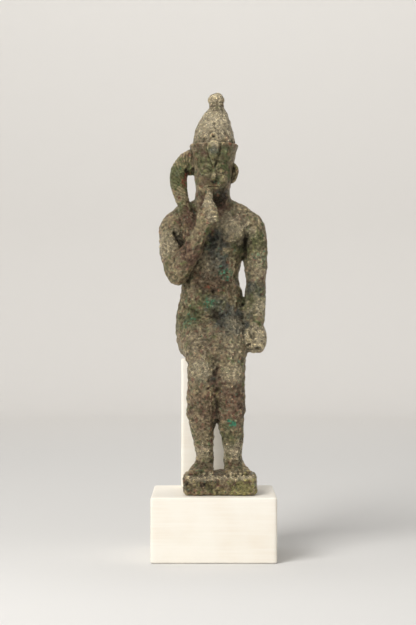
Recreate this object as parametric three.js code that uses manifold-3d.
// Seated child god: a cast bronze votive statuette with its foot plinth, held up by a painted
// wooden seat block that stands on a painted wooden base.
// Millimetres, +Z up. The origin is at the centre of the base's underside, and the god looks along -Y.
import * as THREE from 'three';
import { RoundedBoxGeometry } from 'three/addons/geometries/RoundedBoxGeometry.js';
import { mergeVertices } from 'three/addons/utils/BufferGeometryUtils.js';
import Module from 'manifold-3d';

const wasm = await Module();
wasm.setup();

// Bronze: one casting, from the underside of the plinth to the knob of the crown
const FIGURE_HEIGHT = 143; // soles to the knob of the crown
const PLINTH_WIDTH = 27;
const PLINTH_DEPTH = 23;
const PLINTH_HEIGHT = 7;
const PLINTH_FRONT_CORNER = 2.4; // corner radius seen from above
const PLINTH_BACK_CORNER = 8; // the back corners were rubbed down further in the wax
const PLINTH_EDGE_RADIUS = 1.6; // along the top and bottom edges
const PLINTH_SIDE_SHIFT = 2.3; // the plinth sits this far towards the god's left of the head's axis
const TOE_MARGIN = 0.6; // plinth in front of the longest toe
const SOLE_SINK = 0.4; // the feet run this far into the plinth they are cast with

// Mount: a seat block behind the plinth and a base under both
const POST_WIDTH = 22;
const POST_DEPTH = 9.5;
const POST_SIDE_SHIFT = -1.4;
const BASE_WIDTH = 46;
const BASE_HEIGHT = 24;
const BASE_FRONT_MARGIN = 4.2; // base in front of the plinth
const BASE_BACK_MARGIN = 1; // base behind the seat block
const MOUNT_EDGE_RADIUS = 0.6;
const CLEARANCE = 0.3; // between pieces that touch

// Sculptor's canon: every figure in the tables below is in thousandths of the figure's height.
// x runs to the god's left, y to the back and z up from the soles.
const CANON = FIGURE_HEIGHT / 1000;
const SEAT_LEVEL = 296; // where the flat underside of the buttocks rests
const TOE_FRONT = -111; // y of the longest toe

// Where the pieces stand
const BASE_DEPTH = BASE_FRONT_MARGIN + PLINTH_DEPTH + CLEARANCE + POST_DEPTH + BASE_BACK_MARGIN;
const PLINTH_FRONT = -BASE_DEPTH / 2 + BASE_FRONT_MARGIN;
const PLINTH_BOTTOM = BASE_HEIGHT + CLEARANCE;
const SOLE_LEVEL = PLINTH_BOTTOM + PLINTH_HEIGHT;
const FIGURE_Y = PLINTH_FRONT + TOE_MARGIN - TOE_FRONT * CANON;
const POST_FRONT = PLINTH_FRONT + PLINTH_DEPTH + CLEARANCE;
const POST_BOTTOM = BASE_HEIGHT + CLEARANCE;
const POST_TOP = SOLE_LEVEL + SEAT_LEVEL * CANON - CLEARANCE;

const bronze = new THREE.MeshStandardMaterial({ name: 'bronze', color: 0x5d5847, roughness: 0.72, metalness: 0.55 });
const paintedWood = new THREE.MeshStandardMaterial({ name: 'painted_wood', color: 0xf2eee3, roughness: 0.7, metalness: 0 });

// Solids

function solidFrom(geometry) {
  const bare = geometry.clone();
  bare.deleteAttribute('normal');
  bare.deleteAttribute('uv');
  const merged = mergeVertices(bare, 1e-4);
  return new wasm.Manifold(new wasm.Mesh({
    numProp: 3,
    vertProperties: merged.attributes.position.array,
    triVerts: new Uint32Array(merged.index.array),
  }));
}

function geometryFrom(solid) {
  const mesh = solid.getMesh();
  const positions = new Float32Array(mesh.numVert * 3);
  for (let i = 0; i < mesh.numVert; i++) {
    positions.set(mesh.vertProperties.subarray(i * mesh.numProp, i * mesh.numProp + 3), i * 3);
  }
  const geometry = new THREE.BufferGeometry();
  geometry.setAttribute('position', new THREE.BufferAttribute(positions, 3));
  geometry.setIndex(new THREE.BufferAttribute(mesh.triVerts, 1));
  geometry.computeVertexNormals();
  return geometry;
}

function join(solids) {
  return solids.reduce((whole, solid) => whole.add(solid));
}

// Catmull-Rom value at t (0 to 1) through rows of numbers
function along(rows, t) {
  const last = rows.length - 1;
  const place = Math.min(t * last, last - 1e-9);
  const i = Math.floor(place);
  const f = place - i;
  const row = (k) => rows[Math.min(Math.max(k, 0), last)];
  return rows[0].map((_, c) => {
    const [a, b, d, e] = [row(i - 1)[c], row(i)[c], row(i + 1)[c], row(i + 2)[c]];
    return 0.5 * (2 * b + (d - a) * f + (2 * a - 5 * b + 4 * d - e) * f * f + (3 * b - a - 3 * d + e) * f ** 3);
  });
}

// A form carried along a path. Each station is [x, y, z, half width, half depth]; the section is a
// superellipse (square 2 is an ellipse, more is boxier) and each end rounds over like a dome of domeRings
// steps, one where the end is buried. front is the direction that the half depth is measured along.
function sweep(stations, {
  sides = 12, rings = 8, front = [0, 1, 0], square = 2, dome = 0.6, domeRings = 1,
} = {}) {
  const centre = (t) => new THREE.Vector3(...along(stations, t));
  const sections = [];
  const frameAt = (t) => {
    const tangent = centre(Math.min(t + 0.01, 1)).sub(centre(Math.max(t - 0.01, 0))).normalize();
    const across = new THREE.Vector3(...front).cross(tangent).normalize();
    return { tangent, across, deep: tangent.clone().cross(across) };
  };
  const addSection = (t, shift, scale) => {
    const [, , , width, depth] = along(stations, t);
    const { tangent, across, deep } = frameAt(t);
    const middle = centre(t).addScaledVector(tangent, shift * Math.min(width, depth));
    sections.push({ middle, across, deep, width: width * scale, depth: depth * scale });
  };
  for (let k = 0; k < domeRings; k++) {
    const angle = (Math.PI / 2) * (1 - k / domeRings);
    addSection(0, -dome * Math.sin(angle), Math.max(Math.cos(angle), 0));
  }
  for (let k = 0; k <= rings; k++) addSection(k / rings, 0, 1);
  for (let k = domeRings - 1; k >= 0; k--) {
    const angle = (Math.PI / 2) * (1 - k / domeRings);
    addSection(1, dome * Math.sin(angle), Math.max(Math.cos(angle), 0));
  }
  const positions = [];
  const triangles = [];
  const inner = sections.slice(1, -1);
  for (const { middle, across, deep, width, depth } of inner) {
    for (let j = 0; j < sides; j++) {
      const angle = (2 * Math.PI * j) / sides;
      const bend = (v) => Math.sign(v) * Math.abs(v) ** (2 / square);
      const point = middle.clone()
        .addScaledVector(across, width * bend(Math.cos(angle)))
        .addScaledVector(deep, depth * bend(Math.sin(angle)));
      positions.push(point.x, point.y, point.z);
    }
  }
  const ringStart = (k) => k * sides;
  for (let k = 0; k < inner.length - 1; k++) {
    for (let j = 0; j < sides; j++) {
      const next = (j + 1) % sides;
      const [a, b] = [ringStart(k) + j, ringStart(k) + next];
      const [c, d] = [ringStart(k + 1) + j, ringStart(k + 1) + next];
      triangles.push(a, b, d, a, d, c);
    }
  }
  const tips = [sections[0], sections[sections.length - 1]].map(({ middle }) => {
    positions.push(middle.x, middle.y, middle.z);
    return positions.length / 3 - 1;
  });
  const top = ringStart(inner.length - 1);
  for (let j = 0; j < sides; j++) {
    const next = (j + 1) % sides;
    triangles.push(tips[0], next, j, tips[1], top + j, top + next);
  }
  const geometry = new THREE.BufferGeometry();
  geometry.setAttribute('position', new THREE.Float32BufferAttribute(positions, 3));
  geometry.setIndex(triangles);
  return solidFrom(geometry);
}

// An egg-shaped swelling: [x, y, z] and its three half sizes, leaned by degrees about x, y and z
function swelling(place, halves, lean = [0, 0, 0], detail = [12, 8]) {
  const geometry = new THREE.SphereGeometry(1, ...detail);
  geometry.rotateX(Math.PI / 2);
  geometry.scale(...halves);
  geometry.rotateX(THREE.MathUtils.degToRad(lean[0]));
  geometry.rotateY(THREE.MathUtils.degToRad(lean[1]));
  geometry.rotateZ(THREE.MathUtils.degToRad(lean[2]));
  geometry.translate(...place);
  return solidFrom(geometry);
}

// The figure, part by part, in thousandths. side is -1 for the god's right and 1 for the god's left.

function torso() {
  const trunk = sweep([
    [-6, 50, 322, 84, 50],
    [-7, 46, 375, 93, 59],
    [-5, 40, 420, 91, 57],
    [-6, 37, 460, 83, 53],
    [-8, 35, 505, 74, 48],
    [-4, 34, 555, 76, 51],
    [-2, 35, 600, 92, 54],
    [-2, 38, 645, 108, 49],
    [-3, 40, 680, 106, 40],
    [-2, 40, 702, 86, 32],
    [-2, 38, 718, 46, 28],
  ], { sides: 20, rings: 12, square: 2.2, dome: 0.2 });
  const pectorals = [-1, 1].map((side) => swelling([side * 42 - 1, 2, 629], [43, 24, 36], [-8, 0, 0], [10, 6]));
  const belly = swelling([-5, 11, 462], [72, 31, 88], [0, 0, 0], [12, 8]);
  const buttocks = [-1, 1].map((side) => swelling([side * 43 - 6, 62, 352], [50, 46, 66], [8, 0, 0], [10, 6]));
  const collars = [-1, 1].map((side) => sweep([
    [side * 36, 40, 690, 22, 24],
    [side * 70, 38, 682, 24, 27],
    [side * 98, 36, 658, 25, 28],
  ], { sides: 10, rings: 2 }));
  return [trunk, ...pectorals, belly, ...buttocks, ...collars];
}

function neck() {
  return [sweep([
    [-3, 36, 668, 50, 44],
    [-3, 26, 698, 46, 42],
    [-2, 20, 730, 45, 42],
    [-2, 16, 762, 45, 42],
  ], { sides: 12, rings: 3 })];
}

function leg(side) {
  const right = side < 0;
  const hipX = right ? -50 : 40;
  const kneeX = right ? -31 : 44;
  const ankleX = right ? -24.5 : 50;
  const thigh = sweep([
    [hipX, 62, 362, 46, 48],
    [hipX, 30, 368, 50, 50],
    [hipX * 0.62 + kneeX * 0.38, -14, 342, 47, 47],
    [kneeX, -48, 302, 40, 40],
    [kneeX, -64, 274, 35, 34],
  ], { sides: 12, rings: 5, front: [0, 0, 1] });
  const knee = swelling([kneeX, -66, 262], [36.5, 32, 52], [0, 0, 0], [10, 7]);
  const shin = sweep([
    [kneeX, -60, 272, 36, 36],
    [kneeX, -58, 232, 37, 37],
    [kneeX, -55, 190, 38, 39],
    [kneeX, -54, 150, 37, 37],
    [kneeX * 0.7 + ankleX * 0.3, -53, 118, 32, 31],
    [kneeX * 0.3 + ankleX * 0.7, -52, 85, 27, 27],
    [ankleX, -52, 55, 23.5, 25],
    [ankleX, -51, 22, 24, 27],
  ], { sides: 12, rings: 7, square: 2.1 });
  return [thigh, knee, shin];
}

// The metal left between the thighs and between the calves, which stand too close to part
function web() {
  return [sweep([
    [-3, 0, 388, 32, 34],
    [0, -30, 352, 30, 36],
    [4, -50, 310, 28, 36],
    [6, -57, 262, 22, 31],
    [6, -57, 200, 16, 27],
    [6, -55, 144, 10, 23],
  ], { sides: 8, rings: 5 })];
}

function foot(side) {
  const right = side < 0;
  const heelX = right ? -24.5 : 51;
  const toeX = right ? -34 : 63;
  const sole = -SOLE_SINK / CANON;
  const halfway = (height) => (height + sole) / 2;
  const blade = sweep([
    [heelX, -28, halfway(34), 22, 17],
    [heelX * 0.75 + toeX * 0.25, -52, halfway(40), 25, 20],
    [heelX * 0.4 + toeX * 0.6, -74, halfway(27), 31, 13.5],
    [toeX, -99, halfway(17), 33, 8.5],
  ], { sides: 12, rings: 4, front: [0, 0, 1], square: 2.6, domeRings: 2 });
  const overlap = 0.6;
  let edge = 31;
  const toes = [[8.5, 0], [6.4, 0.5], [6.1, 3], [5.8, 7], [5.4, 12]].map(([width, setBack]) => {
    const x = toeX - side * (edge - width);
    edge -= 2 * width - overlap;
    return sweep([
      [x, -86, halfway(13), width, 6],
      [x, TOE_FRONT + width + setBack, halfway(10), width * 0.95, 5],
    ], { sides: 6, rings: 1, front: [0, 0, 1], dome: 0.9, domeRings: 2 });
  });
  return [blade, ...toes];
}

function hangingArm() {
  const shoulder = swelling([98, 36, 644], [38, 36, 48], [0, -30, 0], [12, 8]);
  const arm = sweep([
    [106, 35, 640, 33, 34],
    [111, 34, 608, 31, 34],
    [112, 35, 560, 31, 32],
    [112, 35, 520, 28.5, 28],
    [111, 31, 488, 26, 27],
    [111, 21, 452, 28, 25],
    [110.5, 7, 415, 26.5, 22],
    [110, -4, 388, 22, 19],
  ], { sides: 12, rings: 10 });
  const fist = sweep([
    [110, -7, 386, 22, 19],
    [110, -17, 364, 26, 23],
    [112, -27, 340, 26, 23],
    [112, -33, 324, 22, 20],
  ], { sides: 10, rings: 3, square: 2.4, domeRings: 2 });
  const thumb = sweep([
    [95, -18, 378, 10, 10],
    [87, -34, 360, 11, 11],
    [91, -46, 342, 10, 9],
  ], { sides: 8, rings: 3, domeRings: 2 });
  const bolt = sweep([
    [112, -28, 350, 16, 16],
    [113, -50, 325, 16, 16],
  ], { sides: 10, rings: 1, dome: 0.12 });
  const hipBridge = swelling([87, 6, 388], [10, 20, 56], [0, 0, 0], [8, 6]);
  const fingers = [0, 1, 2, 3].map((i) => (
    swelling([116, -37 - i * 1.4, 367 - i * 9.5], [17, 9.5, 6], [24, 0, 0], [8, 5])));
  return [shoulder, arm, fist, thumb, bolt, hipBridge, ...fingers];
}

function raisedArm() {
  const shoulder = swelling([-104, 36, 644], [38, 36, 48], [0, 30, 0], [12, 8]);
  const upper = sweep([
    [-108, 35, 640, 34, 34],
    [-112, 31, 608, 33, 34],
    [-110, 22, 578, 32, 33],
    [-103, 8, 545, 31, 31],
    [-96, -3, 518, 27, 28],
  ], { sides: 12, rings: 6 });
  const elbow = swelling([-95, -5, 515], [26, 27, 28], [0, 0, 0], [10, 6]);
  const forearm = sweep([
    [-93, -8, 522, 28, 26],
    [-80, -22, 545, 28, 26],
    [-60, -36, 576, 27, 25],
    [-40, -48, 612, 22, 21],
    [-26, -56, 640, 19, 18],
  ], { sides: 11, rings: 5 });
  const palm = sweep([
    [-26, -57, 642, 20, 18],
    [-20, -63, 660, 25, 19],
    [-14, -66, 678, 25, 17],
    [-13, -63, 696, 17, 13],
  ], { sides: 10, rings: 4, square: 2.3 });
  const forefinger = sweep([
    [-15, -67, 680, 17, 12],
    [-14, -65, 700, 13.5, 11],
    [-12, -57, 718, 10, 9.5],
    [-10, -46, 736, 7.2, 7.6],
  ], { sides: 8, rings: 4 });
  const curled = [0, 1, 2].map((i) => (
    swelling([-1 + i * 2, -77 + i * 3, 675 - i * 9], [13, 9, 6], [0, 14, 0], [8, 5])));
  const thumb = sweep([
    [-31, -71, 650, 8, 8],
    [-27, -77, 666, 8.5, 8],
    [-21, -77, 681, 7, 7],
  ], { sides: 7, rings: 2, domeRings: 2 });
  return [shoulder, upper, elbow, forearm, palm, forefinger, ...curled, thumb];
}

function head() {
  const skull = sweep([
    [-1, -3, 722, 30, 34],
    [-2, 1, 740, 42, 42],
    [-2, 5, 764, 48, 46.5],
    [-1, 8, 790, 50, 48],
    [0, 10, 815, 50, 50],
    [0, 14, 840, 50, 50],
  ], { sides: 16, rings: 6, square: 2.15, domeRings: 2 });
  const nose = sweep([
    [0, -37, 800, 4.5, 4],
    [0, -41, 784, 4.6, 5.5],
    [0, -44, 770, 6, 7.5],
    [0, -44, 763, 8.2, 7],
  ], { sides: 8, rings: 3, domeRings: 2 });
  const eyes = [-1, 1].map((side) => swelling([side * 19, -31, 787], [11, 7.5, 5.4], [0, 0, side * 16], [10, 5]));
  const brows = [-1, 1].map((side) => sweep([
    [side * 6, -38, 799, 3.4, 2.8],
    [side * 18, -35.5, 803, 3.4, 2.8],
    [side * 30, -29, 801, 3, 2.6],
    [side * 38, -22, 795, 2.4, 2.4],
  ], { sides: 5, rings: 3, front: [0, 0, 1] }));
  const lips = [[748, 13, 5], [741.5, 11, 5.2]].map(([z, half, depth]) => (
    swelling([-1, -36.5, z], [half, depth, 3.6], [0, 0, 0], [10, 5])));
  const chin = swelling([-1, -28, 727], [18, 9.5, 10], [0, 0, 0], [10, 5]);
  return [skull, nose, ...eyes, ...brows, ...lips, chin];
}

// The god's left ear; the side lock hangs over the right one
function ear() {
  return [sweep([
    [47, 6, 762, 6, 5],
    [53, 8, 770, 7.5, 7],
    [57.5, 10, 784, 8, 9],
    [58, 12, 798, 7, 9],
    [50, 10, 807, 7, 6],
  ], { sides: 7, rings: 5 })];
}

function crown() {
  const band = sweep([
    [-1, 24, 748, 46, 42],
    [-1, 18, 790, 52, 50],
    [0, 14, 820, 54.5, 56],
    [1, 13, 842, 59, 61],
    [1, 13, 859, 65, 66],
  ], { sides: 18, rings: 6, square: 2.05, dome: 0.02 });
  const tall = sweep([
    [0, 14, 846, 57, 58],
    [1, 15, 864, 56, 57],
    [1, 16, 882, 53, 53],
    [3, 18, 902, 48, 48],
    [5, 20, 923, 41.5, 41],
    [7, 22, 940, 32, 32],
    [8, 23, 953, 23, 23],
    [8, 24, 963, 19.4, 19.4],
    [8, 24, 970, 20, 20],
  ], { sides: 16, rings: 9, dome: 0.1 });
  const knob = swelling([7.5, 24, 981], [22.6, 22, 19], [0, 0, 0], [12, 8]);
  return [band, tall, knob];
}

function cobra() {
  const body = sweep([
    [-1, -38, 798, 3, 5],
    [0, -41, 814, 8, 6],
    [0, -46, 834, 14, 7],
    [0, -51, 850, 17, 7],
    [0, -53, 859, 10, 6],
  ], { sides: 8, rings: 5, domeRings: 2 });
  const coil = new THREE.TorusGeometry(7, 3.6, 5, 10);
  coil.rotateX(THREE.MathUtils.degToRad(82));
  coil.translate(0, -37.5, 876);
  return [body, solidFrom(coil)];
}

function sidelock() {
  const root = swelling([-63, 16, 803], [18, 15, 24], [0, -16, 0], [10, 6]);
  const lock = sweep([
    [-44, 22, 835, 20, 19],
    [-62, 20, 827, 21.5, 20],
    [-79, 18, 810, 23, 21],
    [-91, 16, 787, 24, 21],
    [-92.5, 14, 760, 23.5, 20],
    [-87, 10, 730, 20, 18],
    [-79, 7, 702, 18, 16],
    [-71, 2, 672, 18, 14],
    [-62, -4, 645, 17, 12],
    [-55, -9, 626, 13, 9],
  ], { sides: 10, rings: 13, dome: 0.8, domeRings: 2 });
  return [lock, root];
}

// Pieces

function seatBlock() {
  const height = POST_TOP - POST_BOTTOM;
  const geometry = new RoundedBoxGeometry(POST_WIDTH, POST_DEPTH, height, 1, MOUNT_EDGE_RADIUS);
  return { geometry, place: [POST_SIDE_SHIFT, POST_FRONT + POST_DEPTH / 2, POST_BOTTOM + height / 2] };
}

function baseBlock() {
  const geometry = new RoundedBoxGeometry(BASE_WIDTH, BASE_DEPTH, BASE_HEIGHT, 1, MOUNT_EDGE_RADIUS);
  return { geometry, place: [0, 0, BASE_HEIGHT / 2] };
}

function plinth() {
  const [halfX, halfY] = [PLINTH_WIDTH / 2 - PLINTH_EDGE_RADIUS, PLINTH_DEPTH / 2 - PLINTH_EDGE_RADIUS];
  const outline = new THREE.Shape();
  const corners = [[1, 1], [-1, 1], [-1, -1], [1, -1]];
  corners.forEach(([sx, sy], k) => {
    const radius = (sy < 0 ? PLINTH_FRONT_CORNER : PLINTH_BACK_CORNER) - PLINTH_EDGE_RADIUS;
    const start = (k * Math.PI) / 2;
    outline.absarc(sx * (halfX - radius), sy * (halfY - radius), radius, start, start + Math.PI / 2);
  });
  outline.closePath();
  const geometry = new THREE.ExtrudeGeometry(outline, {
    depth: PLINTH_HEIGHT - 2 * PLINTH_EDGE_RADIUS,
    curveSegments: 3,
    bevelThickness: PLINTH_EDGE_RADIUS,
    bevelSize: PLINTH_EDGE_RADIUS,
    bevelSegments: 2,
  });
  const middle = PLINTH_FRONT + PLINTH_DEPTH / 2;
  geometry.translate(PLINTH_SIDE_SHIFT, middle, PLINTH_BOTTOM + PLINTH_EDGE_RADIUS);
  return solidFrom(geometry);
}

// The room that the seat block takes, with its clearance, so that the buttocks sit flat on it
function seatRoom() {
  const depth = POST_DEPTH + BASE_BACK_MARGIN + PLINTH_DEPTH;
  const height = POST_TOP + CLEARANCE - POST_BOTTOM;
  const geometry = new THREE.BoxGeometry(BASE_WIDTH, depth, height);
  geometry.translate(0, POST_FRONT - CLEARANCE + depth / 2, POST_BOTTOM + height / 2);
  return solidFrom(geometry);
}

function statuette() {
  const body = join([
    ...torso(), ...neck(), ...leg(-1), ...leg(1), ...web(), ...foot(-1), ...foot(1),
    ...hangingArm(), ...raisedArm(), ...head(), ...ear(), ...crown(), ...cobra(), ...sidelock(),
  ]);
  const placed = body.scale([CANON, CANON, CANON]).translate([0, FIGURE_Y, SOLE_LEVEL]);
  return geometryFrom(placed.add(plinth()).subtract(seatRoom()));
}

const root = new THREE.Group();
root.name = 'seated_child_god';

function add(name, geometry, material, place = [0, 0, 0]) {
  const mesh = new THREE.Mesh(geometry, material);
  mesh.name = name;
  mesh.position.set(...place);
  root.add(mesh);
}

add('statuette', statuette(), bronze);
const seat = seatBlock();
add('seat_block', seat.geometry, paintedWood, seat.place);
const base = baseBlock();
add('base_block', base.geometry, paintedWood, base.place);

export default root;
